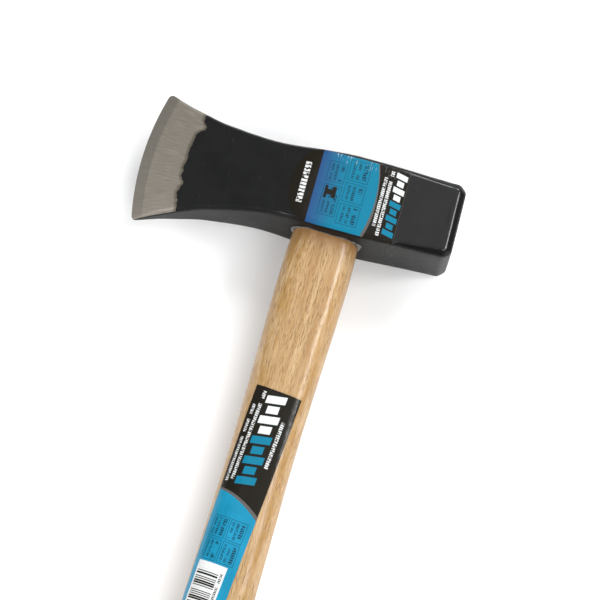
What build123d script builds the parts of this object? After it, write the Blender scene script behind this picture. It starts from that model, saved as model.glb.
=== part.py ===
"""A 6 lb splitting maul: a forged steel head wedged and glued onto a straight beech handle.

The maul lies on its side. +Z is square to the cheeks of the head, and the lower cheek
rests on Z = 0. The handle runs along -Y. The cutting edge is on the -X side and the
striking face of the poll on the +X side. The origin is on the lower cheek, under the
middle of the eye. All lengths are in millimetres and all angles in degrees.
"""

import os
from math import cos, radians, sin

from build123d import *

# ---- head, measured from the middle of the eye along the head's own centre line
HEAD_THICK = 53.0
HANG_ANGLE = 1.8  # the blade end of the head sits this much lower on the handle
EDGE_REACH = 121.3
POLL_REACH = 74.4
EDGE_RADIUS = 171.0
EDGE_TILT = 1.9  # the toe of the cutting edge is this much further back than the heel
CORNER_ROUND = 3.0
POLL_HALF_HEIGHT = 23.2
# half height of the upper outline: flared blade, narrow neck, deeper eye
OUTLINE = [(-97.8, 34.7), (-73.5, 27.5), (-36.8, 22.9), (-12.8, 23.8)]
EYE_HALF_HEIGHT = 24.8
EYE_CREST = 7.2
FLARE_END = (-126.8, 46.6)

# ---- grinding of the blade, as distance back from the edge and half thickness
EDGE_FLAT = 0.3
BEVEL = (6.0, 3.1)
GRIND = (29.0, 10.5)
CHEEK = (84.0, 22.7)
CHEEK_START = 106.0

# ---- poll
CORNER_BEVEL = 3.8
CORNER_BEVEL_START = 28.0
FACE_BEVEL = 3.2

# ---- eye
EYE_WIDTH = 38.6
EYE_DEPTH = 29.6
EYE_ROUND = 13.0
EYE_FLARE = 2.4
TENON_GAP = 0.3  # resin thickness where the flare of the eye begins

# ---- handle
HANDLE_PROUD = 1.5  # the end of the tenon stands this far out of the head
ROUNDNESS = 0.44  # corner radius of a section, as a share of its depth
# distance below the middle of the eye, width along X, depth along Z
SHAFT = [
    (18.0, 39.2, 30.4),
    (66.0, 41.8, 31.0),
    (152.0, 38.7, 30.2),
    (240.0, 40.5, 30.8),
    (350.0, 40.6, 30.6),
    (510.0, 37.4, 29.0),
    (680.0, 34.8, 28.0),
    (780.0, 35.2, 28.4),
    (840.0, 38.8, 31.4),
    (873.7, 40.6, 33.0),
]
BUTT_ROUND = 4.0

# ---- kerf and wedges in the tenon
KERF_DEPTH = 38.0
KERF_WIDTH = 2.0
WEDGE_DEPTH = 33.0
WEDGE_TOP = 7.0
WEDGE_TIP = 2.0
STEEL_DEPTH = 22.0
STEEL_TOP = 2.6
STEEL_TIP = 0.8
STEEL_WIDTH = 20.0
STEEL_SPACING = 20.0

# ---- resin bead, squeezed out round the handle under the head
BEAD_WIDTH = 1.6
BEAD_DROP = 1.6

# ---- labels
LABEL_THICK = 0.2
HEAD_LABEL_TURN = 1.0
HEAD_LABEL_LEFT = -29.3
HEAD_LABEL_SHOULDER = -14.8
HEAD_LABEL_RIGHT = 39.5
HEAD_LABEL_TOP = 22.4
HEAD_LABEL_BOTTOM = -23.0
HANDLE_LABEL_TURN = 4.4
HANDLE_LABEL_TOP = -125.4
HANDLE_LABEL_LENGTH = 152.0
HANDLE_LABEL_WIDTH = 28.0

HALF_THICK = HEAD_THICK / 2
TENON_TOP = EYE_HALF_HEIGHT + HANDLE_PROUD
SHAFT_TOP = -SHAFT[1][0]


def side_profile():
    """Outline of the head in the XY plane, with the curved cutting edge on the left."""
    slope = (POLL_HALF_HEIGHT - EYE_HALF_HEIGHT) / (POLL_REACH - EYE_CREST)
    crest = (EYE_CREST, EYE_HALF_HEIGHT)
    poll = (POLL_REACH, POLL_HALF_HEIGHT)
    upper = Spline([FLARE_END, *OUTLINE, crest], tangents=[(1, -0.42), (1, slope)])
    taper = Line(crest, poll)
    rest = Polyline(poll, (POLL_REACH, 0), (FLARE_END[0], 0), FLARE_END)
    half = make_face(upper + taper + rest)
    outline = half + mirror(half, Plane.XZ)
    outline &= Pos(*edge_centre()) * Circle(EDGE_RADIUS)
    corners = outline.vertices().sort_by(Axis.X)
    corners = [v for v in corners if abs(v.Y) > 1.5 * EYE_HALF_HEIGHT]
    return fillet(corners, CORNER_ROUND)


def edge_centre():
    """Centre of the arc that the cutting edge follows."""
    x = -EDGE_REACH + EDGE_RADIUS * cos(radians(EDGE_TILT))
    return x, -EDGE_RADIUS * sin(radians(EDGE_TILT))


def blade_envelope():
    """Thickness of the head: rings about the centre of the edge arc, thin at the edge."""
    def at(back, half):
        return EDGE_RADIUS - back, half

    rim = EDGE_RADIUS + 2.0
    grind = Polyline((rim, 0), (rim, EDGE_FLAT), at(0, EDGE_FLAT), at(*BEVEL), at(*GRIND))
    cheek = Spline(
        [at(*GRIND), at(*CHEEK), at(CHEEK_START, HALF_THICK)],
        tangents=[(-1, 0.25), (-1, 0)],
    )
    top = Polyline(at(CHEEK_START, HALF_THICK), (0, HALF_THICK), (0, 0), (rim, 0))
    section = make_face(Plane.XZ * (grind + cheek + top))
    upper = revolve(section, Axis.Z)
    return Pos(*edge_centre()) * (upper + mirror(upper, Plane.XY))


def head_block():
    """The forging before the eye is cut, about the middle of the eye."""
    block = extrude(side_profile(), HALF_THICK, both=True) & blade_envelope()
    growth = CORNER_BEVEL / (POLL_REACH - CORNER_BEVEL_START)
    for up in (1, -1):
        for near in (1, -1):
            corner = Plane(
                origin=(POLL_REACH, up * (POLL_HALF_HEIGHT - CORNER_BEVEL), near * HALF_THICK),
                z_dir=(growth, up, near),
            )
            block = split(block, corner, keep=Keep.BOTTOM)
    face = block.faces().sort_by(Axis.X)[-1]
    block = chamfer(face.edges(), FACE_BEVEL)
    return Rot(0, 0, HANG_ANGLE) * block


def section(y, width, depth, radius):
    """A rounded rectangle square to the handle at the height y."""
    plane = Plane((0, y, 0), x_dir=(1, 0, 0), z_dir=(0, -1, 0))
    return plane * RectangleRounded(width, depth, radius)


def eye_prism(gap, top, bottom):
    """The constant section of the eye, shrunk all round by the gap."""
    outline = section(top, EYE_WIDTH - 2 * gap, EYE_DEPTH - 2 * gap, EYE_ROUND - gap)
    return extrude(outline, top - bottom)


def eye():
    """The hole: straight in its lower half and flared towards the top."""
    top = 2 * EYE_HALF_HEIGHT
    spread = top / EYE_HALF_HEIGHT * EYE_FLARE
    mouth = section(top, EYE_WIDTH + spread, EYE_DEPTH + spread, EYE_ROUND + spread / 2)
    waist = section(0, EYE_WIDTH, EYE_DEPTH, EYE_ROUND)
    return eye_prism(0, 0, -top) + loft([mouth, waist])


def kerf():
    """Saw cut along the middle of the tenon, opened to the width of the wooden wedge."""
    slot = Pos(0, TENON_TOP - KERF_DEPTH / 2, 0) * Box(2 * EYE_WIDTH, KERF_DEPTH, KERF_WIDTH)
    return slot + wooden_taper()


def wooden_taper():
    """The wooden wedge before its ends are trimmed to the tenon."""
    low = TENON_TOP - WEDGE_DEPTH
    outline = Polyline(
        (TENON_TOP, WEDGE_TOP / 2),
        (low, WEDGE_TIP / 2),
        (low, -WEDGE_TIP / 2),
        (TENON_TOP, -WEDGE_TOP / 2),
        close=True,
    )
    return extrude(Plane.YZ * make_face(outline), EYE_WIDTH, both=True)


def steel_wedge(x):
    """One steel wedge, driven across the wooden one at the given place along the eye."""
    low = TENON_TOP - STEEL_DEPTH
    outline = Polyline(
        (x + STEEL_TOP / 2, TENON_TOP),
        (x + STEEL_TIP / 2, low),
        (x - STEEL_TIP / 2, low),
        (x - STEEL_TOP / 2, TENON_TOP),
        close=True,
    )
    return extrude(make_face(outline), STEEL_WIDTH / 2, both=True)


def shaft():
    """The handle below the head, lofted through its sections, with a rounded butt."""
    sections = [section(-d, w, t, ROUNDNESS * t) for d, w, t in SHAFT]
    body = loft(sections)
    butt = body.faces().sort_by(Axis.Y)[0]
    return fillet(butt.edges(), BUTT_ROUND)


def shaft_grown(grow):
    """The handle made thicker all round, for what is stuck onto it."""
    sections = [
        section(-d, w + 2 * grow, t + 2 * grow, ROUNDNESS * t + grow) for d, w, t in SHAFT
    ]
    return loft(sections)


def tenon():
    """What of the handle sits in the eye: tight below the middle, clear of the flare above."""
    return eye_prism(0, 0, SHAFT_TOP) + eye_prism(TENON_GAP, TENON_TOP, 0)


def head_label(block):
    """Sticker on the upper cheek: square towards the poll and rounded towards the blade."""
    tall = HEAD_LABEL_TOP - HEAD_LABEL_BOTTOM
    middle = (HEAD_LABEL_TOP + HEAD_LABEL_BOTTOM) / 2
    length = HEAD_LABEL_RIGHT - HEAD_LABEL_SHOULDER
    square = Pos((HEAD_LABEL_RIGHT + HEAD_LABEL_SHOULDER) / 2, middle) * Rectangle(length, tall)
    nose = HEAD_LABEL_SHOULDER - HEAD_LABEL_LEFT
    rounded = Pos(HEAD_LABEL_SHOULDER, middle) * Ellipse(nose, tall / 2)
    cutter = extrude(Rot(0, 0, HEAD_LABEL_TURN) * (square + rounded), HEAD_THICK)
    return (Pos(0, 0, LABEL_THICK) * block - block) & cutter


def handle_label(wood):
    """Sticker wrapped over the front of the handle, slightly askew."""
    outline = Pos(0, -HANDLE_LABEL_LENGTH / 2) * Rectangle(HANDLE_LABEL_WIDTH, HANDLE_LABEL_LENGTH)
    placed = Pos(0, HANDLE_LABEL_TOP) * Rot(0, 0, -HANDLE_LABEL_TURN) * outline
    return (shaft_grown(LABEL_THICK) & extrude(placed, HEAD_THICK)) - wood


def build():
    """Every piece of the maul by name, about the middle of the eye."""
    block = head_block()
    hole = eye()
    stick = shaft()
    wood_top = tenon()
    steels = [steel_wedge(side * STEEL_SPACING / 2) for side in (-1, 1)]
    wooden = wooden_taper() & eye_prism(TENON_GAP, TENON_TOP, -EYE_HALF_HEIGHT)
    bead = shaft_grown(BEAD_WIDTH) & Pos(0, -BEAD_DROP, 0) * block
    wood = (stick - block) + wood_top - kerf() - steels[0] - steels[1]
    return {
        "maul_head": block - hole,
        "handle": wood,
        "wooden_wedge": wooden - steels[0] - steels[1],
        "steel_wedge_front": steels[0],
        "steel_wedge_rear": steels[1],
        "eye_resin": (hole & block) - wood_top,
        "resin_bead": bead - block - stick,
        "head_label": head_label(block),
        "handle_label": handle_label(stick),
    }


def main():
    os.makedirs("parts", exist_ok=True)
    for name, solid in build().items():
        export_step(Pos(0, 0, HALF_THICK) * solid, f"parts/{name}.step")


main()
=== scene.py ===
"""Looks of the splitting maul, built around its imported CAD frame."""
from math import cos, hypot, pi, radians, sin, sqrt

import bpy
from mathutils import Matrix, Vector, noise
from mathutils.bvhtree import BVHTree


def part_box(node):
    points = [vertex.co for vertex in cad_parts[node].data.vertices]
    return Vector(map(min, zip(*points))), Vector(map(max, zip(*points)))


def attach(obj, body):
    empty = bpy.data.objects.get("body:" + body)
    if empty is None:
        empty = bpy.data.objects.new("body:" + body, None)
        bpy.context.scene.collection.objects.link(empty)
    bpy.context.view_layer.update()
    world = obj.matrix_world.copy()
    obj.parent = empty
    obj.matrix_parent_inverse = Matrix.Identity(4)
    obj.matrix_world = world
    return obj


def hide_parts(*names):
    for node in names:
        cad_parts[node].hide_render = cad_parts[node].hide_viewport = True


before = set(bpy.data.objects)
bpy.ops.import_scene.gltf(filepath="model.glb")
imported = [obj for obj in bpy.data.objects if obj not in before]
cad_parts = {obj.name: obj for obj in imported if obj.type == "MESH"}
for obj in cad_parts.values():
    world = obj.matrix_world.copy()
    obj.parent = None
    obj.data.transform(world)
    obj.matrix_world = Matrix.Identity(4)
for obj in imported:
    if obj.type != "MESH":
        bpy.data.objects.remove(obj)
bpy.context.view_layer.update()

# Lengths are in millimetres about the middle of the eye, until place() puts them in the frame.
MM = 0.001
head_low, head_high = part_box("maul_head")
HALF_THICK = (head_high.z - head_low.z) / 2 / MM

# ---- head; the edge is an arc about EDGE_CENTRE, and a station is a slice at one distance behind it
HANG_ANGLE = radians(1.8)
EDGE_REACH = 121.3
POLL_REACH = 74.4
EDGE_RADIUS = 171.0
EDGE_TILT = radians(1.9)
EDGE_CENTRE = (-EDGE_REACH + EDGE_RADIUS * cos(EDGE_TILT), -EDGE_RADIUS * sin(EDGE_TILT))
CORNER_ROUND = 3.0  # where the edge meets the outline
# x, and half the height there
HALF_HEIGHTS = [
    (-126.8, 46.35),
    (-97.8, 34.7),
    (-73.5, 27.5),
    (-36.8, 22.9),
    (-12.8, 23.8),
    (7.2, 24.8),
    (40.0, 24.0),
    (74.4, 23.2),
]
EDGE_FLAT = 0.3
BEVEL = (6.0, 3.1)  # length of the honed bevel, and half the thickness behind it
# distance behind the edge, and half the thickness there
HALF_THICKS = [(29.0, 10.5), (55.0, 16.6), (84.0, 22.7), (106.0, HALF_THICK), (200.0, HALF_THICK)]
ARC_END = 106.0  # past this distance from the edge the stations are straight
FACE_BEVEL = (4.3, 3.5)  # in from the face, and down from the sides
FACE_SOFT = 1.9
NECK_CORNER = (1.8, 1.4)  # bevel of the long edges, and how softly it turns
POLL_CORNER = (3.8, 1.2)
POLL_CORNER_START = 24.0
FACE_RING = 2.0  # flat ring round the poll's face, inside its bevel
FORGING_WAVE = 0.12
CHEEK_STEPS = 34
CORNER_STEPS = 4
TINY = 0.001

# ---- ground steel: how far the grinding reaches, and where it bulges (along the edge, by, width)
GRIND_REACH = 27.2
GRIND_BULGES = [(31.0, 3.2, 7.0), (-14.0, 2.0, 5.0)]
BEVEL_BACK = 6.9

# ---- eye
EYE_WIDTH = 38.6
EYE_DEPTH = 29.6
EYE_ROUND = 13.0
BEAD_MARGIN = 1.7  # from the bead's box in to the line it follows
BEAD_TURNS = 14

# ---- labels, on the cheek and unrolled on the handle
HEAD_LABEL = {"left": -29.3, "shoulder": -14.8, "right": 39.5, "low": -23.6, "high": 22.6}
HEAD_LABEL_TURN = radians(1.0)
LABEL_MARGIN = 0.6  # between the cheek sticker and the head's outline
HANDLE_LABEL = {"width": 29.0, "length": 152.0, "top": -125.4}
HANDLE_LABEL_TURN = radians(4.4)
LABEL_THICK = 0.16
LABEL_LIFT = 0.03  # gap under a sticker, so that it never shares a surface
NOSE_STEPS = 16
FIELD_STEPS = 44
TALL_STEPS = 40
WRAP_STEPS = 36
RUN_STEPS = 95
ROUNDNESS = 0.88  # corner radius of the handle, as a share of its half depth
BLOCK_LEAN = 0.22
OUTSIDE = 60.0  # this far from the middle of the eye a ray starts clear of the surface it looks for
ART_SPAN = 400.0  # millimetres that the art coordinates map to one unit

# ---- colours
STEEL_DARK = (0.215, 0.19, 0.16)
STEEL_LIGHT = (0.335, 0.30, 0.255)
STEEL_DULL = (0.24, 0.21, 0.17)
STEEL_HONED = (0.165, 0.152, 0.13)
STEEL_SCORCHED = (0.10, 0.078, 0.05)
PAINT_DARK = (0.0048, 0.0047, 0.0046)
PAINT_LIGHT = (0.0075, 0.0074, 0.0072)
PAINT_WORN = (0.15, 0.15, 0.145)
WOOD_LIGHT = (0.50, 0.35, 0.185)
WOOD_MIDDLE = (0.42, 0.272, 0.122)
WOOD_DARK = (0.29, 0.158, 0.055)
WOOD_HONEY = (0.33, 0.175, 0.036)
# painted shade laid over the handle's sides
WOOD_FLANK_SHADE = (0.37, 0.22, 0.085)
WOOD_VESSEL = (0.17, 0.08, 0.02)
WOOD_BY_HEAD = (0.27, 0.12, 0.034)
END_GRAIN_LIGHT = (0.33, 0.20, 0.10)
END_GRAIN_DARK = (0.21, 0.115, 0.05)
END_GRAIN_PORE = (0.12, 0.06, 0.025)
WEDGE_DARK = (0.16, 0.085, 0.035)
WEDGE_LIGHT = (0.33, 0.20, 0.10)
MILD_STEEL = (0.36, 0.35, 0.33)
RUST = (0.19, 0.085, 0.035)
RESIN_DARK = (0.06, 0.055, 0.05)
RESIN_LIGHT = (0.19, 0.18, 0.17)
WHITE = (0.60, 0.61, 0.60)
BLACK = (0.010, 0.008, 0.005)
CYAN = (0.004, 0.150, 0.245)
SKY_BLUE = (0.012, 0.25, 0.42)
DEEP_BLUE = (0.018, 0.055, 0.16)
SILVER = (0.088, 0.085, 0.080)
INK = (0.004, 0.035, 0.065)
FLOOR_DARK = (0.90, 0.90, 0.90)
FLOOR_LIGHT = (0.92, 0.92, 0.92)
PITH_DEPTH = 60.0  # the heart of the tree lay this far behind the handle

# ---- camera and light
AIM = (-4.5, -64.6, 0.0)
DISTANCE = 1.585
LENS = 158.4
TILT = radians(14.0)
SWING = 0.04
ROLL = radians(16.05)
SENSOR = 36.0
FLOOR_REACH = 6.0
SURROUND = (0.92, 0.96, 1.0, 1.0)
SURROUND_STRENGTH = 0.32
# name, place in metres, size and power
LIGHTS = [
    ("key", (2.6, -2.6, 3.2), 3.6, 170),
    ("sheen", (2.75, 0.86, 2.6), 0.85, 52),
    ("overhead", (0.55, 0.5, 2.3), 2.0, 8),
    ("back", (1.0, 3.4, 3.0), 2.2, 150),
    ("fill", (-4.0, -2.5, 2.9), 3.0, 200),
]


def place(x, y, z):
    """A point in the frame, in metres, from millimetres about the middle of the eye."""
    return Vector((x, y, z + HALF_THICK)) * MM


def turned(x, y, angle):
    """The point turned about the middle of the eye."""
    return x * cos(angle) - y * sin(angle), x * sin(angle) + y * cos(angle)


def ease(value, low, high):
    """0 below low, 1 above high and smooth between them."""
    t = min(1.0, max(0.0, (value - low) / (high - low)))
    return t * t * (3 - 2 * t)


def smooth_curve(points):
    """A function that passes smoothly through the points and turns only at them."""
    slopes = [(b[1] - a[1]) / (b[0] - a[0]) for a, b in zip(points, points[1:])]
    inner = [2 * a * b / (a + b) if a * b > 0 else 0.0 for a, b in zip(slopes, slopes[1:])]
    tangents = [slopes[0], *inner, slopes[-1]]

    def value(x):
        i = 0
        while i < len(slopes) - 1 and x > points[i + 1][0]:
            i += 1
        (x0, y0), (x1, y1) = points[i], points[i + 1]
        span = x1 - x0
        t = (x - x0) / span
        rise = y1 - y0
        leave = tangents[i] * span - rise
        arrive = tangents[i + 1] * span - rise
        bend = t * (1 - t) * ((1 - t) * leave - t * arrive)
        return y0 + t * rise + bend

    return value


half_height = smooth_curve(HALF_HEIGHTS)
half_thick = smooth_curve(HALF_THICKS)


def thickness(back):
    """Half thickness of the head at this distance behind the cutting edge."""
    if back <= BEVEL[0]:
        return EDGE_FLAT + (BEVEL[1] - EDGE_FLAT) * max(0.0, back) / BEVEL[0]
    start = HALF_THICKS[0]
    if back <= start[0]:
        return BEVEL[1] + (start[1] - BEVEL[1]) * (back - BEVEL[0]) / (start[0] - BEVEL[0])
    return half_thick(back)


def station_x(back, y):
    """Where the station lies at height y: on an arc near the edge, straight behind."""
    straight = -EDGE_REACH + back
    share = 1 - ease(back, 30.0, ARC_END)
    if share == 0:
        return straight
    arc = EDGE_CENTRE[0] - sqrt((EDGE_RADIUS - back) ** 2 - (y - EDGE_CENTRE[1]) ** 2)
    return share * arc + (1 - share) * straight


def cheek(x, y):
    """Half thickness of the head under the point x, y."""
    return thickness(EDGE_RADIUS - hypot(x - EDGE_CENTRE[0], y - EDGE_CENTRE[1]))


def rim(back, side):
    """Height of the outline at this station, above (side 1) or below (side -1)."""
    y = side * half_height(-EDGE_REACH + back)
    for _ in range(6):
        y = side * half_height(station_x(back, y))
    if back < CORNER_ROUND:
        y -= side * (CORNER_ROUND - sqrt(CORNER_ROUND**2 - (CORNER_ROUND - back) ** 2))
    return y


def bezier(a, b, c, steps):
    """Points of the curve from a to c that leans towards b."""
    curve = []
    for i in range(steps + 1):
        t = i / steps
        near, lean, far = (1 - t) ** 2, 2 * t * (1 - t), t * t
        curve.append(tuple(near * p + lean * q + far * r for p, q, r in zip(a, b, c)))
    return curve


def corner_curve(across, drop, soft):
    """A bevelled and rounded corner: (in from the side, down from the cheek), cheek first."""
    share = min(0.45, 0.7 * soft / max(across, drop))
    steps = CORNER_STEPS
    first = bezier((across + soft, 0), (across, 0), (across * (1 - share), drop * share), steps)
    second = bezier((across * share, drop * (1 - share)), (0, drop), (0, drop + soft), steps)
    return first + second


def corner_size(x, depth):
    """Bevel and softness of the long edges at x, less where the blade is thin."""
    share = ease(x, POLL_CORNER_START, POLL_REACH)
    sizes = [a + (b - a) * share for a, b in zip(NECK_CORNER, POLL_CORNER)]
    return min(sizes[0], 0.28 * depth), min(sizes[1], 0.34 * depth)


def station_loop(back, inset=0.0):
    """One closed loop round the head, from the bottom over the upper cheek and back."""
    low, high = rim(back, -1) + inset, rim(back, 1) - inset
    sides = []
    for y, side in ((low, -1), (high, 1)):
        x = station_x(back, y)
        depth = cheek(x, y) - inset
        bevel, soft = corner_size(x, depth)
        bevel = max(0.4 * bevel, bevel - 0.6 * inset)
        curve = corner_curve(bevel, bevel, soft)
        straight = depth - bevel - soft
        wall = [(0.0, depth - straight * share) for share in (0.0, 0.33, 0.66)]
        sides.append([(y - side * across, drop) for across, drop in wall + curve[::-1]])
    bottom, top = sides
    first, last = bottom[-1][0], top[-1][0]
    step = (last - first) / CHEEK_STEPS
    middle = [(first + step * i, 0.0) for i in range(1, CHEEK_STEPS)]
    half = bottom + middle + top[::-1]
    upper = []
    for y, drop in half:
        x = station_x(back, y)
        upper.append((x, y, max(0.0, cheek(x, y) - inset - drop)))
    lower = [(x, y, -z) for x, y, z in upper[-2:0:-1]]
    return upper + lower, len(upper)


def station_distances():
    """Distances behind the edge of the stations: close together where the shape turns."""
    near = [0.03, 0.12, 0.4, 0.8, 1.3, 1.9, 2.6, 3.4, 4.4, 5.4, 5.85, 6.15, 6.6]
    body = [8.0 + 1.6 * i for i in range(115)]
    end = EDGE_REACH + POLL_REACH - FACE_BEVEL[0] - FACE_SOFT - 0.6
    return near + [d for d in body if d < end - 0.8] + [end]


def forged(x, y, z):
    """The point moved a little, as a hammered surface is, but not near the edge."""
    back = EDGE_RADIUS - hypot(x - EDGE_CENTRE[0], y - EDGE_CENTRE[1])
    amount = FORGING_WAVE * ease(back, 28.0, 45.0)
    if amount == 0:
        return x, y, z
    spot = Vector((x, y, z))
    push = noise.noise(spot / 17.0) + 0.5 * noise.noise(spot / 6.0)
    away = Vector((0, y / 24.0, z / 26.0)).normalized()
    moved = spot - away * amount * max(0.0, 0.7 + push)
    return tuple(moved)


def ring_faces(rows, size):
    """Four-sided faces between closed rings of points that follow each other."""
    faces = []
    for row in range(rows - 1):
        for i in range(size):
            j = (i + 1) % size
            faces.append((row * size + i, row * size + j, (row + 1) * size + j, (row + 1) * size + i))
    return faces


def mesh_object(name, points, faces):
    """A mesh object of these points, given in frame coordinates."""
    mesh = bpy.data.meshes.new(name)
    mesh.from_pydata(points, [], faces)
    mesh.validate()
    mesh.update()
    obj = bpy.data.objects.new(name, mesh)
    bpy.context.scene.collection.objects.link(obj)
    return obj


def smooth(obj, angle):
    """Smooth shading that keeps the edges sharper than the angle, in degrees."""
    obj.data.shade_smooth()
    obj.data.set_sharp_from_angle(angle=radians(angle))


def bake_modifiers(obj):
    """Replaces the mesh by what its modifiers make of it."""
    graph = bpy.context.evaluated_depsgraph_get()
    mesh = bpy.data.meshes.new_from_object(obj.evaluated_get(graph))
    obj.modifiers.clear()
    obj.data = mesh
    return obj


def make_head():
    """The forged head with its rounded edges, bevelled poll and the eye cut through it."""
    loops = []
    for back in station_distances():
        loop, half = station_loop(back)
        loops.append([forged(*point) for point in loop])
    end = EDGE_REACH + POLL_REACH
    face = corner_curve(*FACE_BEVEL, FACE_SOFT)
    for back, inset in face:
        loops.append(station_loop(end - back, inset)[0])
    flat = face[-1][1] + FACE_RING
    loops.append([(POLL_REACH, y, z) for _, y, z in station_loop(end - TINY, flat)[0]])
    points = []
    for loop in loops:
        points += [place(*turned(x, y, HANG_ANGLE), z) for x, y, z in loop]
    size = len(loops[0])
    faces = ring_faces(len(loops), size)
    top = (len(loops) - 1) * size
    faces.append(tuple(top + i for i in range(size)))
    across = [0] + [size - i for i in range(1, half - 1)] + [half - 1]
    for i in range(half - 1):
        quad = (i, across[i], across[i + 1], i + 1)
        faces.append(tuple(dict.fromkeys(quad)))
    head = mesh_object("forged_head", points, faces)
    cutter = eye_cutter()
    hole = head.modifiers.new("eye", "BOOLEAN")
    hole.object = cutter
    hole.solver = "EXACT"
    bake_modifiers(head)
    bpy.data.objects.remove(cutter)
    smooth(head, 32)
    return head


def rounded_section(half_width, half_depth, radius, steps=10):
    """Points round a rounded rectangle, from the middle of the right side."""
    points = []
    for quarter in range(4):
        cx = (half_width - radius) * (1 if quarter in (0, 3) else -1)
        cz = (half_depth - radius) * (1 if quarter in (0, 1) else -1)
        for i in range(steps + 1):
            angle = (quarter + i / steps) * pi / 2
            points.append((cx + radius * cos(angle), cz + radius * sin(angle)))
    return points


def eye_cutter():
    """The hole through the head: straight below the middle of the eye, flared above it."""
    low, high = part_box("eye_resin")
    mouth_y = high.y / MM
    spread = (high.x - low.x) / MM / 2 - EYE_WIDTH / 2
    top = 2 * mouth_y
    rings = [(-top, 0.0), (0.0, 0.0), (top, spread * top / mouth_y)]
    points = []
    for y, extra in rings:
        outline = rounded_section(EYE_WIDTH / 2 + extra, EYE_DEPTH / 2 + extra, EYE_ROUND + extra)
        points += [place(x, y, z) for x, z in outline]
    size = len(points) // len(rings)
    caps = [tuple(range(size))[::-1], tuple(range(2 * size, 3 * size))]
    return mesh_object("eye_cutter", points, caps + ring_faces(len(rings), size))


def surface_of(obj):
    """A search tree of the object's faces."""
    graph = bpy.context.evaluated_depsgraph_get()
    return BVHTree.FromObject(obj, graph)


def sheet_object(name, rows, arts):
    """A sticker from a grid of points with art coordinates, given its thickness."""
    width = len(rows[0])
    points = [p for row in rows for p in row]
    faces = []
    for r in range(len(rows) - 1):
        for i in range(width - 1):
            near, far = r * width + i, (r + 1) * width + i
            faces.append((near, far, far + 1, near + 1))
    obj = mesh_object(name, points, faces)
    art = [a for row in arts for a in row]
    layer = obj.data.uv_layers.new(name="art")
    for loop in obj.data.loops:
        u, v = art[loop.vertex_index]
        layer.data[loop.index].uv = (0.5 + u / ART_SPAN, 0.5 + v / ART_SPAN)
    shell = obj.modifiers.new("thickness", "SOLIDIFY")
    shell.thickness = LABEL_THICK * MM
    shell.offset = 1.0
    bake_modifiers(obj)
    smooth(obj, 40)
    return obj


def make_head_label(head):
    """The cheek's sticker, laid over the forged surface and its soft upper edge."""
    tree = surface_of(head)
    spot = HEAD_LABEL
    middle = (spot["high"] + spot["low"]) / 2
    tall = (spot["high"] - spot["low"]) / 2
    nose = spot["shoulder"] - spot["left"]
    field = spot["right"] - spot["shoulder"]
    turns = [i / NOSE_STEPS * pi / 2 for i in range(1, NOSE_STEPS + 1)]
    across = [spot["left"] + nose * (1 - cos(turn)) for turn in turns]
    across += [spot["shoulder"] + field * i / FIELD_STEPS for i in range(1, FIELD_STEPS + 1)]
    rows, arts = [], []
    for x in across:
        lean = max(0.0, (spot["shoulder"] - x) / nose)
        reach = tall * sqrt(1 - lean * lean)
        sag = x * sin(HANG_ANGLE - HEAD_LABEL_TURN)
        low = max(middle - reach, sag - half_height(x) + LABEL_MARGIN)
        high = min(middle + reach, sag + half_height(x) - LABEL_MARGIN)
        row, art = [], []
        for i in range(TALL_STEPS + 1):
            y = low + (high - low) * i / TALL_STEPS
            tx, ty = turned(x, y, HEAD_LABEL_TURN)
            above = place(tx, ty, HALF_THICK * 2)
            hit = tree.ray_cast(above, Vector((0, 0, -1)))[0]
            row.append(hit + Vector((0, 0, LABEL_LIFT * MM)))
            art.append((x, y))
        rows.append(row)
        arts.append(art)
    return sheet_object("cheek_sticker", rows, arts)


def section_point(s, half_width, half_depth, radius):
    """The point at arc length s from the front of a rounded rectangle, rightwards."""
    side = 1 if s >= 0 else -1
    s = abs(s)
    flat = half_width - radius
    if s <= flat:
        return side * s, half_depth
    angle = (s - flat) / radius
    if angle <= pi / 2:
        return side * (flat + radius * sin(angle)), half_depth - radius + radius * cos(angle)
    return side * half_width, half_depth - radius - (s - flat - radius * pi / 2)


def make_handle_label(handle):
    """The handle's sticker, wrapped askew round its front and left side."""
    tree = surface_of(handle)
    spot = HANDLE_LABEL
    rows, arts = [], []
    for j in range(RUN_STEPS + 1):
        b = spot["length"] * j / RUN_STEPS
        row, art = [], []
        for i in range(WRAP_STEPS + 1):
            a = spot["width"] * (i / WRAP_STEPS - 0.5)
            s = a * cos(HANDLE_LABEL_TURN) - b * sin(HANDLE_LABEL_TURN)
            y = spot["top"] - b * cos(HANDLE_LABEL_TURN) - a * sin(HANDLE_LABEL_TURN)
            side = tree.ray_cast(place(OUTSIDE, y, 0), Vector((-1, 0, 0)))[0].x / MM
            front = tree.ray_cast(place(0, y, OUTSIDE), Vector((0, 0, -1)))[0].z / MM - HALF_THICK
            x, z = section_point(s, side, front, ROUNDNESS * front)
            hit, normal = tree.find_nearest(place(x, y, z))[:2]
            row.append(hit + normal * LABEL_LIFT * MM)
            art.append((a, b))
        rows.append(row)
        arts.append(art)
    return sheet_object("handle_sticker", rows, arts)


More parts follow.
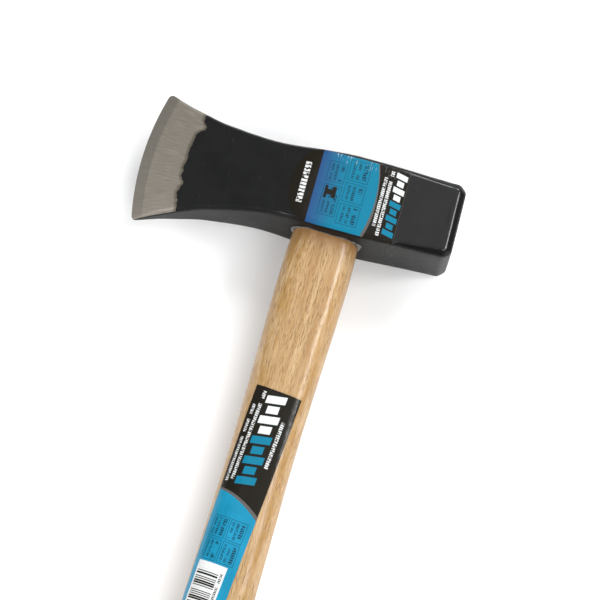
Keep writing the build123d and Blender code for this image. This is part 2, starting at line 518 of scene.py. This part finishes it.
def make_bead(head):
    """Resin squeezed out round the handle: a thin line with a blob at each end of the eye."""
    tree = surface_of(head)
    low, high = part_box("resin_bead")
    half_width = (high.x - low.x) / MM / 2 - BEAD_MARGIN
    half_depth = (high.z - low.z) / MM / 2 - BEAD_MARGIN
    path = rounded_section(half_width, half_depth, ROUNDNESS * half_depth, 24)
    count = len(path)
    points = []
    for i, (x, z) in enumerate(path):
        angle = i / count * 2 * pi
        before, after = path[i - 1], path[(i + 1) % count]
        outward = Vector((after[1] - before[1], 0, before[0] - after[0])).normalized()
        lump = noise.noise(Vector((2.2 * cos(angle), 2.2 * sin(angle), 3.1)))
        blob = 1.5 * max(0.0, cos(angle - 0.35)) ** 14 + 1.3 * max(0.0, -cos(angle + 0.25)) ** 14
        size = 0.6 + 0.3 * lump + blob
        start = place(*(Vector((x, -OUTSIDE, z)) + outward * 1.2))
        under = tree.ray_cast(start, Vector((0, 1, 0)))[0].y / MM
        centre = Vector((x, under + 0.1 * size, z)) + outward * 0.25 * size
        for k in range(BEAD_TURNS):
            turn = k / BEAD_TURNS * 2 * pi
            offset = outward * cos(turn) * size + Vector((0, sin(turn) * size * 0.8, 0))
            points.append(place(*(centre + offset)))
    seam = (count - 1) * BEAD_TURNS
    faces = ring_faces(count, BEAD_TURNS)
    for k in range(BEAD_TURNS):
        m = (k + 1) % BEAD_TURNS
        faces.append((seam + k, seam + m, m, k))
    bead = mesh_object("squeezed_resin", points, faces)
    smooth(bead, 80)
    return bead


class Field:
    """A number worked out at each point of a surface, with arithmetic on it."""

    def __init__(self, graph, socket):
        self.graph = graph
        self.socket = socket

    def math(self, operation, other=0.0, swap=False):
        """The field that one operation makes of this one and another field or number."""
        node = self.graph.tree.nodes.new("ShaderNodeMath")
        node.operation = operation
        first, second = (other, self) if swap else (self, other)
        self.graph.put(node.inputs[0], first)
        self.graph.put(node.inputs[1], second)
        return Field(self.graph, node.outputs[0])

    def __add__(self, other):
        return self.math("ADD", other)

    def __sub__(self, other):
        return self.math("SUBTRACT", other)

    def __rsub__(self, other):
        return self.math("SUBTRACT", other, swap=True)

    def __mul__(self, other):
        return self.math("MULTIPLY", other)

    def __truediv__(self, other):
        return self.math("DIVIDE", other)

    __radd__ = __add__
    __rmul__ = __mul__

    def absolute(self):
        """The same without its sign."""
        return self.math("ABSOLUTE")

    def smaller(self, other):
        """The lower of this and another."""
        return self.math("MINIMUM", other)

    def rise(self, low, high):
        """0 below low, 1 above high, smooth between; the other way round if low is higher."""
        node = self.graph.tree.nodes.new("ShaderNodeMapRange")
        node.interpolation_type = "SMOOTHSTEP"
        flipped = low > high
        self.graph.put(node.inputs["Value"], self)
        node.inputs["From Min"].default_value = min(low, high)
        node.inputs["From Max"].default_value = max(low, high)
        node.inputs["To Min"].default_value = 1.0 if flipped else 0.0
        node.inputs["To Max"].default_value = 0.0 if flipped else 1.0
        return Field(self.graph, node.outputs["Result"])

    def within(self, low, high, soft=0.08):
        """1 between low and high."""
        return self.rise(low - soft, low + soft) * self.rise(high + soft, high - soft)


class Graph:
    """A material and short ways to add nodes to it."""

    def __init__(self, name):
        self.material = bpy.data.materials.new(name)
        self.material.use_nodes = True
        self.tree = self.material.node_tree
        self.shader = self.tree.nodes["Principled BSDF"]

    def put(self, socket, value):
        """Gives the socket a field, another socket, a colour or a number."""
        if isinstance(value, Field):
            self.tree.links.new(value.socket, socket)
        elif isinstance(value, bpy.types.NodeSocket):
            self.tree.links.new(value, socket)
        elif isinstance(value, tuple) and len(value) == 3 and len(socket.default_value) == 4:
            socket.default_value = (*value, 1.0)
        else:
            socket.default_value = value

    def position(self):
        """x, y and z in millimetres about the middle of the eye."""
        node = self.tree.nodes.new("ShaderNodeTexCoord")
        split = self.tree.nodes.new("ShaderNodeSeparateXYZ")
        self.tree.links.new(node.outputs["Object"], split.inputs[0])
        x, y, z = (Field(self, s) / MM for s in split.outputs)
        return x, y, z - HALF_THICK

    def art(self):
        """The sticker's own coordinates in millimetres."""
        node = self.tree.nodes.new("ShaderNodeUVMap")
        node.uv_map = "art"
        split = self.tree.nodes.new("ShaderNodeSeparateXYZ")
        self.tree.links.new(node.outputs["UV"], split.inputs[0])
        return tuple((Field(self, split.outputs[i]) - 0.5) * ART_SPAN for i in (0, 1))

    def normal(self):
        """The three parts of the surface's direction."""
        node = self.tree.nodes.new("ShaderNodeNewGeometry")
        split = self.tree.nodes.new("ShaderNodeSeparateXYZ")
        self.tree.links.new(node.outputs["Normal"], split.inputs[0])
        return tuple(Field(self, s) for s in split.outputs)

    def vector(self, x, y, z):
        """One vector from three fields or numbers."""
        node = self.tree.nodes.new("ShaderNodeCombineXYZ")
        for socket, value in zip(node.inputs, (x, y, z)):
            self.put(socket, value)
        return node.outputs[0]

    def noise(self, spot, scale=1.0, detail=3.0, rough=0.5):
        """Cloudy noise from 0 to 1 at this spot."""
        node = self.tree.nodes.new("ShaderNodeTexNoise")
        self.put(node.inputs["Vector"], spot)
        node.inputs["Scale"].default_value = scale
        node.inputs["Detail"].default_value = detail
        node.inputs["Roughness"].default_value = rough
        return Field(self, node.outputs["Fac"])

    def blend(self, share, first, second):
        """A colour between two others."""
        node = self.tree.nodes.new("ShaderNodeMix")
        node.data_type = "RGBA"
        self.put(node.inputs[0], share)
        self.put(node.inputs[6], first)
        self.put(node.inputs[7], second)
        return node.outputs[2]

    def bump(self, height, distance, strength=1.0):
        """Relief from a height given in millimetres."""
        node = self.tree.nodes.new("ShaderNodeBump")
        node.inputs["Strength"].default_value = strength
        node.inputs["Distance"].default_value = distance
        self.put(node.inputs["Height"], height)
        self.tree.links.new(node.outputs[0], self.shader.inputs["Normal"])

    def set(self, **values):
        """Sets the shader's inputs, by their names with underscores for spaces."""
        for name, value in values.items():
            self.put(self.shader.inputs[name.replace("_", " ")], value)


def head_material():
    """Black enamel over forged steel, ground bare behind the edge."""
    g = Graph("head_finish")
    x, y, z = g.position()
    away_x = x - EDGE_CENTRE[0]
    away_y = y - EDGE_CENTRE[1]
    radius = (away_x * away_x + away_y * away_y).math("SQRT")
    back = EDGE_RADIUS - radius
    along = away_y / away_x.absolute() * EDGE_RADIUS
    spot = g.vector(x, y, z)
    limit = g.noise(g.vector(along / 9, z / 9, 0.0), 1.0, 3.0, 0.6) * 6.0 + (GRIND_REACH - 3.0)
    for middle, rise, width in GRIND_BULGES:
        limit = limit + (along - middle).absolute().rise(width, 0.0) * rise
    beyond = back - limit
    flat = g.normal()[2].absolute()  # 1 on the cheeks, 0 on the sides
    facing = flat + g.noise(g.vector(along / 5, back / 9, 0.0), 1.0, 2.0) * 0.16
    bare = beyond.rise(0.25, -0.25) * facing.rise(0.56, 0.66)
    scorch = beyond.within(-1.6, 0.4, 0.9) * facing.rise(0.56, 0.66)
    lines = g.noise(g.vector(along * 1.7, back / 11, 0.0), 1.0, 4.0, 0.65)
    broad = g.noise(g.vector(along / 5, back / 20, 3.0), 1.0, 3.0, 0.6)
    steel = g.blend(lines.rise(0.3, 0.75), STEEL_DARK, STEEL_LIGHT)
    steel = g.blend(broad.rise(0.35, 0.7) * 0.35, steel, STEEL_DULL)
    honed = back.rise(BEVEL_BACK + 0.5, BEVEL_BACK - 0.5)
    steel = g.blend(honed * 0.6, steel, STEEL_HONED)
    steel = g.blend(scorch * 0.7, steel, STEEL_SCORCHED)
    soft = g.noise(spot, 0.06, 4.0, 0.6)
    dust = g.noise(spot, 1.1, 2.0, 0.6).rise(0.70, 0.78) * g.noise(spot, 0.05, 2.0).rise(0.5, 0.62)
    scuff = g.noise(g.vector(x * 0.9, y / 9, z / 9), 1.0, 4.0, 0.7).rise(0.66, 0.74)
    paint = g.blend(soft.rise(0.3, 0.7), PAINT_DARK, PAINT_LIGHT)
    below_label = x.within(33.0, 44.0, 3.0) * y.within(-27.0, -20.0, 2.0)
    chips = g.noise(spot, 0.9, 3.0, 0.7).rise(0.60, 0.66) * below_label
    wear = (dust * 0.25 + scuff * 0.14 + chips * 0.8).smaller(0.8)
    paint = g.blend(wear, paint, PAINT_WORN)
    side = flat.rise(0.85, 0.4)
    bevel = flat.within(0.62, 0.86, 0.1) * x.rise(10.0, 30.0)
    near_eye = x.absolute().rise(27.0, 20.0) * y.rise(-21.5, -23.5) * y.rise(-60.0, -50.0)
    rough = g.noise(spot, 0.35, 4.0, 0.6)
    peel = g.noise(spot, 0.9, 2.0, 0.5) * 0.022 + g.noise(spot, 0.16, 3.0, 0.5) * 0.12
    cut = lines * 0.03 + g.noise(g.vector(along * 5.0, back / 5, 7.0), 1.0, 2.0) * 0.01
    step = beyond.rise(-0.1, 0.1) * 0.06
    painted = 1.0 - bare
    g.set(
        Base_Color=g.blend(bare, paint, steel),
        Metallic=bare * 0.65,
        Roughness=bare * (lines * 0.14 + 0.38) + painted * (rough * 0.16 + 0.12 + side * 0.22),
        Specular_IOR_Level=0.42 - (side * 0.31 + bevel * 0.27 + near_eye * 0.05),
    )
    g.bump(bare * cut + painted * peel + step, MM)
    return g.material


def beech_colour(g, x, y, z):
    """Beech: soft bands and honey streaks along the grain, short dark vessel flecks, and painted
    shade that darkens the handle's sides.

    Gives the colour, the fine grain and the flecks."""
    sway = g.noise(g.vector(x / 30, y / 190, z / 30), 1.0, 2.0, 0.5) * 16.0
    bands = g.noise(g.vector((x + sway) / 5.5, y / 150, (z + sway) / 5.5), 1.0, 4.0, 0.6)
    fine = g.noise(g.vector(x * 1.6, y / 14, z * 1.6), 1.0, 3.0, 0.7)
    lines = g.noise(g.vector(x * 1.1, y / 40, z * 1.1), 1.0, 3.0, 0.65)
    smudge = g.noise(g.vector(x / 2.6, y / 16, z / 2.6 + 9.0), 1.0, 3.0, 0.6)
    colour = g.blend(bands.rise(0.32, 0.68), WOOD_DARK, WOOD_LIGHT)
    colour = g.blend(fine.rise(0.35, 0.65) * 0.45, colour, WOOD_MIDDLE)
    colour = g.blend(lines.rise(0.50, 0.68) * 0.5, colour, WOOD_DARK)
    # honey streaks everywhere, made stronger towards the handle's sides as painted shade
    honey_and_flank_shade = x.absolute().rise(7.0, 16.0) * 0.7 + 0.25
    colour = g.blend(smudge.rise(0.42, 0.58) * honey_and_flank_shade, colour, WOOD_HONEY)
    # painted shade: the wood is darkened and browned towards both sides of the handle
    colour = g.blend(x.absolute().rise(9.0, 19.0) * 0.35, colour, WOOD_FLANK_SHADE)
    rays = g.noise(g.vector(x * 2.1, (y + x * 3.0) / 5.0, z * 2.1), 1.0, 1.5, 0.5)
    patch = g.noise(g.vector(x / 9, y / 30, z / 9), 1.0, 2.0, 0.5).rise(0.28, 0.5)
    marks = rays.rise(0.53, 0.62) * patch
    return g.blend(marks * 0.7, colour, WOOD_VESSEL), fine, marks


def handle_material():
    """Clear-lacquered beech, darker and browner in a ragged band next to the head, with end grain."""
    g = Graph("beech_finish")
    x, y, z = g.position()
    colour, fine, marks = beech_colour(g, x, y, z)
    # darker and browner in a ragged band next to the head
    ragged = g.noise(g.vector(x / 4, y / 9, z / 4), 1.0, 3.0, 0.6) * 14.0
    darker_by_head = (y + ragged).rise(-29.0, -18.0)
    colour = g.blend(darker_by_head * 0.65, colour, WOOD_BY_HEAD)
    ends = g.normal()[1].absolute().rise(0.85, 0.97)
    from_pith = z + PITH_DEPTH
    rings = ((x * x + from_pith * from_pith).math("SQRT") * 0.55).math("FRACT")
    pores = g.noise(g.vector(x * 2.2, 0.0, z * 2.2), 1.0, 2.0, 0.6).rise(0.55, 0.68)
    end_colour = g.blend(rings.within(0.0, 0.3, 0.15) * 0.6, END_GRAIN_LIGHT, END_GRAIN_DARK)
    end_colour = g.blend(pores * 0.4, end_colour, END_GRAIN_PORE)
    colour = g.blend(ends, colour, end_colour)
    g.set(Base_Color=colour, Roughness=fine * 0.2 + 0.36 + ends * 0.2, Coat_Weight=0.4)
    g.shader.inputs["Coat Roughness"].default_value = 0.22
    g.bump(fine * 0.04 - marks * 0.04, MM)
    return g.material


def wedge_wood_material():
    """Darker sawn hardwood of the driven wedge."""
    g = Graph("wedge_wood_finish")
    x, y, z = g.position()
    grain = g.noise(g.vector(x * 0.7, y / 8, z * 2.5), 1.0, 4.0, 0.65)
    g.set(
        Base_Color=g.blend(grain.rise(0.3, 0.7), WEDGE_DARK, WEDGE_LIGHT),
        Roughness=grain * 0.3 + 0.5,
    )
    g.bump(grain * 0.12, MM)
    return g.material


def wedge_steel_material():
    """Plain mild steel, dull, with a little rust."""
    g = Graph("wedge_steel_finish")
    spot = g.vector(*g.position())
    patch = g.noise(spot, 0.35, 5.0, 0.65)
    rust = patch.rise(0.52, 0.68)
    g.set(
        Base_Color=g.blend(rust, MILD_STEEL, RUST),
        Metallic=1.0 - rust * 0.8,
        Roughness=rust * 0.35 + 0.35,
    )
    g.bump(patch * 0.1, MM)
    return g.material


def resin_material(name):
    """Cured grey resin, glossy and slightly see-through."""
    g = Graph(name)
    spot = g.vector(*g.position())
    cloud = g.noise(spot, 0.5, 4.0, 0.6)
    g.set(
        Base_Color=g.blend(cloud.rise(0.3, 0.7), RESIN_DARK, RESIN_LIGHT),
        Roughness=cloud * 0.15 + 0.08,
    )
    g.shader.inputs["Transmission Weight"].default_value = 0.3
    g.bump(cloud * 0.25, MM)
    return g.material


def box_mask(a, b, left, right, low, high, soft=0.1):
    """1 inside the rectangle."""
    return a.within(left, right, soft) * b.within(low, high, soft)


def frame_mask(a, b, left, right, low, high, line=0.28):
    """1 on a thin outline of the rectangle."""
    outer = box_mask(a, b, left, right, low, high)
    return outer - box_mask(a, b, left + line, right - line, low + line, high - line)


def strokes(g, across, along, left, right, low, high, seed):
    """Marks that stand for a line of small print, with gaps as between letters and words."""
    tall = right - left
    pitch = 0.62 * tall
    letters = (along / pitch).math("FRACT").within(0.08, 0.80, 0.08)
    holes = g.noise(g.vector(across * (1.5 / tall), along * (2.4 / tall), seed), 1.0, 1.0, 0.4)
    words = g.noise(g.vector(along * (0.34 / tall), seed, 0.0), 1.0, 0.0, 0.0)
    inked = letters * holes.rise(0.38, 0.46) * words.rise(0.36, 0.38)
    return inked * box_mask(across, along, left, right, low, high)


def slanted_blocks(across, along, left, right, start, pitch, count):
    """A plain row of leaning blocks, tall and short in turn, and each point's place in the row."""
    order = (along + (across - left) * BLOCK_LEAN - start) / pitch
    tall = (order * 0.5).math("FRACT").rise(0.51, 0.49)
    inner = (right - left) * 0.2
    short = across.within(left + inner, right - inner, 0.12)
    full = across.within(left, right, 0.12)
    shape = full * tall + short * (1.0 - tall)
    row = order.within(0.0, count, 0.02) * order.math("FRACT").within(0.12, 0.86, 0.03)
    return shape * row, order


def printed(g, colour, mask, ink):
    """The colour with the masked part printed over in ink."""
    return g.blend(mask, colour, ink)


def print_boxes(g, colour, a, b, boxes, rows, margin):
    """Outlined boxes, each with rows of small marks: (start, size) as shares of its width."""
    for seed, (left, right, low, high) in enumerate(boxes):
        colour = printed(g, colour, frame_mask(a, b, left, right, low, high), INK)
        span = right - left
        for share, tall in rows:
            row = left + span * share
            ends = (low + margin, high - margin)
            marks = strokes(g, a, b, row, row + span * tall, *ends, seed + 7 * share)
            colour = printed(g, colour, marks, INK)
    return colour


def finish_sticker(g, a, b, colour):
    """Glossy film with faint waves."""
    wave = g.noise(g.vector(a / 12, b / 12, 0.0), 1.0, 3.0, 0.5)
    smear = g.noise(g.vector(a / 5, b / 5, 4.0), 1.0, 4.0, 0.6)
    g.set(Base_Color=colour, Roughness=smear * 0.12 + 0.18)
    g.shader.inputs["Specular IOR Level"].default_value = 0.2
    g.bump(wave * 0.5, MM)
    return g.material


def head_label_material():
    """Cheek sticker: dark nose, blue field with boxes, silver arc, dark panel."""
    g = Graph("cheek_sticker_print")
    a, b = g.art()
    tone = (a + g.noise(g.vector(a / 9, b / 9, 1.0), 1.0, 2.0) * 4.0).rise(-16.0, 8.0)
    colour = g.blend(tone, DEEP_BLUE, CYAN)
    boxes = [
        (2.9, 15.6, 7.9, 21.0),
        (2.9, 15.6, -5.6, 6.4),
        (2.9, 15.6, -19.8, -7.1),
        (-9.3, 1.6, 4.3, 17.2),
        (-9.3, 1.6, -16.9, 2.6),
    ]
    rows = [(0.68, 0.2), (0.40, 0.15), (0.16, 0.13)]
    colour = print_boxes(g, colour, a, b, boxes, rows, 1.3)
    anvil = box_mask(a, b, -8.2, -6.6, -6.4, 1.6) + box_mask(a, b, -6.6, -3.6, -3.9, -0.6)
    anvil = (anvil + box_mask(a, b, -3.6, -1.2, -5.6, 1.6)).smaller(1.0)
    colour = printed(g, colour, anvil, BLACK)
    arc = a + (b + 0.5) * (b + 0.5) / 150.0
    colour = printed(g, colour, arc.rise(22.5, 22.7), SILVER)
    width = b.rise(10.0, -20.0) * 1.1 + 0.7
    colour = printed(g, colour, (arc - width).rise(22.5, 22.7), BLACK)
    colour = printed(g, colour, a.rise(-14.5, -14.7), BLACK)
    for left, right, low, high, seed in (
        (-23.2, -19.6, -16.6, 14.4, 31.0),
        (24.6, 26.6, -15.5, 15.6, 32.0),
        (27.7, 29.8, -20.8, 20.4, 33.0),
    ):
        colour = printed(g, colour, strokes(g, a, b, left, right, low, high, seed), WHITE)
    colour = printed(g, colour, a.within(39.0, 39.3, 0.1) * 0.5, SILVER)
    blocks, order = slanted_blocks(a, b, 31.2, 38.2, -19.4, 4.5, 9)
    colour = printed(g, colour, blocks, CYAN)
    colour = printed(g, colour, blocks * order.rise(4.98, 5.02), WHITE)
    # painted highlights: white marks along the top where the sticker bends over the rounded rim
    crinkle_highlight = g.noise(g.vector(a * 1.1, b / 7, 9.0), 1.0, 2.0, 0.6).rise(0.60, 0.70)
    crinkle_highlight = crinkle_highlight * b.rise(15.0, 21.0) * a.rise(-13.0, -11.0)
    colour = printed(g, colour, crinkle_highlight * 0.55, WHITE)
    return finish_sticker(g, a, b, colour)


def handle_label_material():
    """Handle sticker: dark panel, silver arc, blue field with boxes, bar pattern."""
    g = Graph("handle_sticker_print")
    a, b = g.art()
    colour = g.blend(g.noise(g.vector(a / 9, b / 20, 2.0), 1.0, 2.0), CYAN, SKY_BLUE)
    boxes = [
        (-9.8, 0.0, 80.6, 93.4),
        (-9.8, 0.0, 94.4, 107.4),
        (1.0, 11.2, 80.6, 93.4),
        (1.0, 11.2, 94.4, 107.4),
    ]
    rows = [(0.66, 0.22), (0.38, 0.16), (0.12, 0.14)]
    colour = print_boxes(g, colour, a, b, boxes, rows, 1.2)
    arc = b - (a + 16.0) * (a + 16.0) / 90.0
    colour = printed(g, colour, (arc - a * 0.05).rise(66.3, 66.1), SILVER)
    colour = printed(g, colour, arc.rise(64.4, 64.2), BLACK)
    blocks, order = slanted_blocks(a, b, -5.6, 6.0, 3.6, 6.4, 9)
    colour = printed(g, colour, blocks, CYAN)
    colour = printed(g, colour, blocks * order.rise(4.02, 3.98), WHITE)
    for left, right, low, high, seed in (
        (7.6, 9.8, 16.5, 46.0, 41.0),
        (-8.9, -6.9, 2.4, 58.0, 42.0),
        (-12.4, -10.5, 11.5, 60.0, 43.0),
    ):
        colour = printed(g, colour, strokes(g, a, b, left, right, low, high, seed), WHITE)
    colour = printed(g, colour, box_mask(a, b, -9.6, 8.8, 108.6, 141.0), WHITE)
    bars = g.noise(g.vector(0.0, b * 0.85, 5.0), 1.0, 0.0, 0.0).rise(0.49, 0.52)
    colour = printed(g, colour, bars * box_mask(a, b, -8.4, 5.2, 112.0, 139.0), BLACK)
    small = strokes(g, a, b, 6.0, 7.6, 113.0, 138.0, 44.0)
    colour = printed(g, colour, small, BLACK)
    return finish_sticker(g, a, b, colour)


def floor_material():
    """Plain pale studio floor."""
    g = Graph("studio_floor")
    spot = g.vector(*g.position())
    g.set(Base_Color=g.blend(g.noise(spot, 0.01, 2.0), FLOOR_DARK, FLOOR_LIGHT), Roughness=0.8)
    return g.material


def dress(obj, material, slot, *nodes):
    """Gives a new piece its material and its place in the frame."""
    obj.data.materials.clear()
    obj.data.materials.append(material)
    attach(obj, "root")
    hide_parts(*nodes)


def dress_node(name, material):
    """Gives a CAD node its finish."""
    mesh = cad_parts[name].data
    mesh.materials.clear()
    mesh.materials.append(material)


def add_light(name, spot, size, power):
    """A soft square light that faces the middle of the frame."""
    data = bpy.data.lights.new(name, "AREA")
    data.size = size
    data.energy = power
    light = bpy.data.objects.new(name, data)
    light.location = spot
    light.rotation_euler = (-Vector(spot)).to_track_quat("-Z", "Y").to_euler()
    bpy.context.scene.collection.objects.link(light)


def make_studio():
    """Pale floor, soft lights round the object and an even surround."""
    reach = FLOOR_REACH
    corners = [(-reach, -reach, 0), (reach, -reach, 0), (reach, reach, 0), (-reach, reach, 0)]
    floor = mesh_object("studio_floor", corners, [(0, 1, 2, 3)])
    floor.data.materials.append(floor_material())
    world = bpy.data.worlds.new("surround")
    world.use_nodes = True
    background = world.node_tree.nodes["Background"]
    background.inputs["Color"].default_value = SURROUND
    background.inputs["Strength"].default_value = SURROUND_STRENGTH
    bpy.context.scene.world = world
    for name, spot, size, power in LIGHTS:
        add_light(name, spot, size, power)


def make_camera():
    """Camera that looks down on the cheek from the handle's side, rolled."""
    back = Vector((SWING, -sin(TILT), cos(TILT))).normalized()
    across = Vector((1, 0, 0))
    across = (across - back * across.dot(back)).normalized()
    up = back.cross(across)
    right = cos(ROLL) * across + sin(ROLL) * up
    up = back.cross(right)
    data = bpy.data.cameras.new("camera")
    data.lens = LENS
    data.sensor_width = SENSOR
    camera = bpy.data.objects.new("camera", data)
    spot = place(*AIM) + back * DISTANCE
    turn = Matrix((right, up, back)).transposed().to_4x4()
    camera.matrix_world = Matrix.Translation(spot) @ turn
    bpy.context.scene.collection.objects.link(camera)
    bpy.context.scene.camera = camera


def main():
    """Makes the new pieces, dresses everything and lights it."""
    head = make_head()
    cheek_sticker = make_head_label(head)
    handle_sticker = make_handle_label(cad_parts["handle"])
    bead = make_bead(head)
    dress(head, head_material(), "head_steel", "maul_head")
    dress(cheek_sticker, head_label_material(), "label_vinyl", "head_label")
    dress(handle_sticker, handle_label_material(), "label_vinyl", "handle_label")
    dress(bead, resin_material("bead_finish"), "resin", "resin_bead")
    dress_node("handle", handle_material())
    dress_node("wooden_wedge", wedge_wood_material())
    steel = wedge_steel_material()
    dress_node("steel_wedge_front", steel)
    dress_node("steel_wedge_rear", steel)
    dress_node("eye_resin", resin_material("eye_resin_finish"))
    make_studio()
    make_camera()
    bpy.context.scene.view_settings.view_transform = "Standard"


main()
